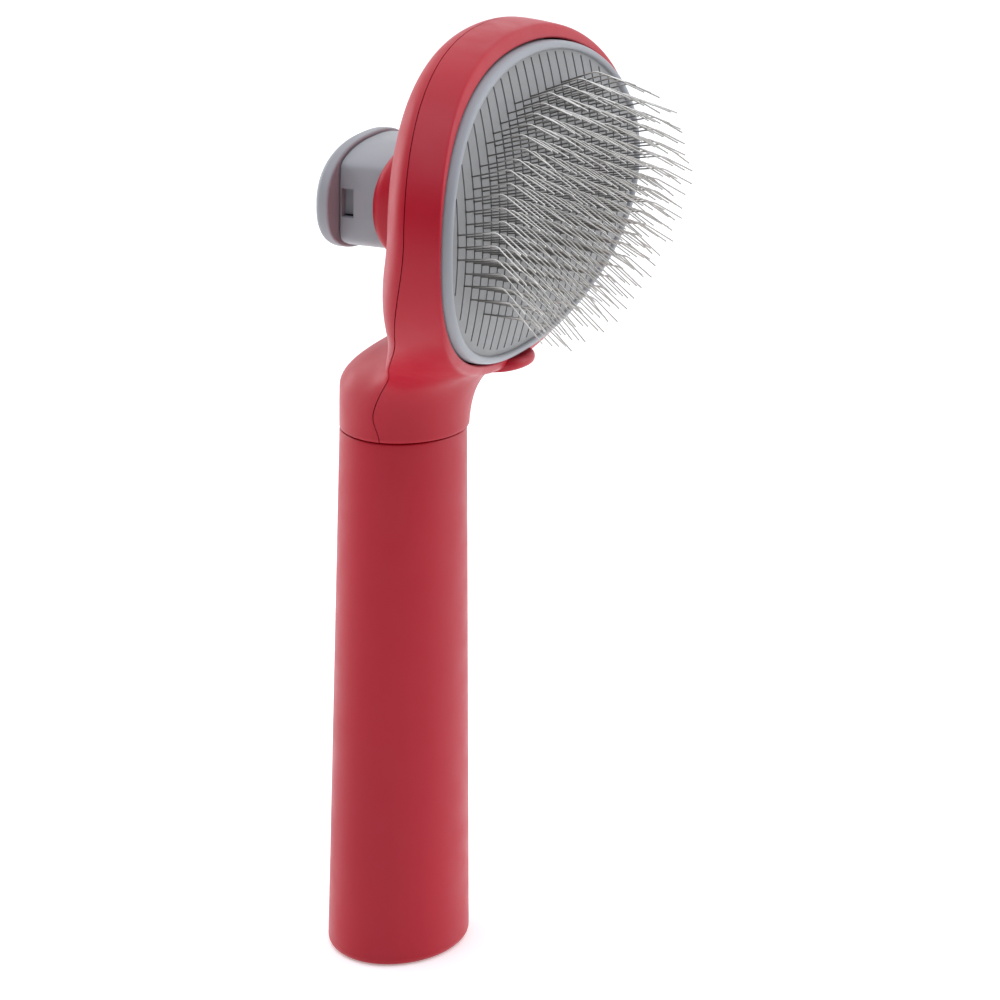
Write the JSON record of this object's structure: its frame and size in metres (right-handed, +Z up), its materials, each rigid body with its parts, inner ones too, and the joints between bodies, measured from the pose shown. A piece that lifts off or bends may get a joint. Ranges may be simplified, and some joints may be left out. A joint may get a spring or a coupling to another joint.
{
  "type": "slicker brush",
  "caption": "Pet slicker brush: wide oval head of bent wire pins on a tapered handle, with a spring-loaded rear button that pushes a slatted face forward to eject the hair.",
  "frame": {"origin": "middle of the handle's flat bottom, on the handle's own axis", "axes": "+Z up along the handle, -Y the way the pins point, +Y towards the button, X across the wide head"},
  "size_m": [0.1082, 0.0613, 0.2034],
  "materials": {
    "red_plastic": "satin red plastic with a fine grain",
    "pale_grey_plastic": "satin pale grey plastic",
    "slat_grey_plastic": "matt mid grey plastic",
    "inner_plastic": "plain dark moulding",
    "pad_rubber": "soft matt rubber",
    "pin_steel": "drawn stainless wire",
    "screw_steel": "zinc plated steel"
  },
  "bodies": {
    "brush_body": {"handle": "red_plastic", "head_front_shell": "red_plastic", "head_rear_shell": "red_plastic", "pins": "pin_steel", "pin_pad": "pad_rubber", "pin_carrier": "inner_plastic", "return_spring": "screw_steel", "carrier_screw_1": "screw_steel", "carrier_screw_2": "screw_steel", "carrier_screw_3": "screw_steel", "carrier_screw_4": "screw_steel", "carrier_screw_5": "screw_steel", "carrier_screw_6": "screw_steel", "spigot_screw_1": "screw_steel", "spigot_screw_2": "screw_steel"},
    "ejector": {"button_cap": "pale_grey_plastic", "plunger": "pale_grey_plastic", "face_ring": "pale_grey_plastic", "slat_plate": "slat_grey_plastic"}
  },
  "joints": [
    {"name": "button_slide", "type": "slide", "parent": "brush_body", "child": "ejector", "axis": [0, -1, 0], "range_m": [0, 0.008], "stiffness_N_per_m": 900, "springref_m": -0.004, "deforming": ["return_spring"]}
  ]
}
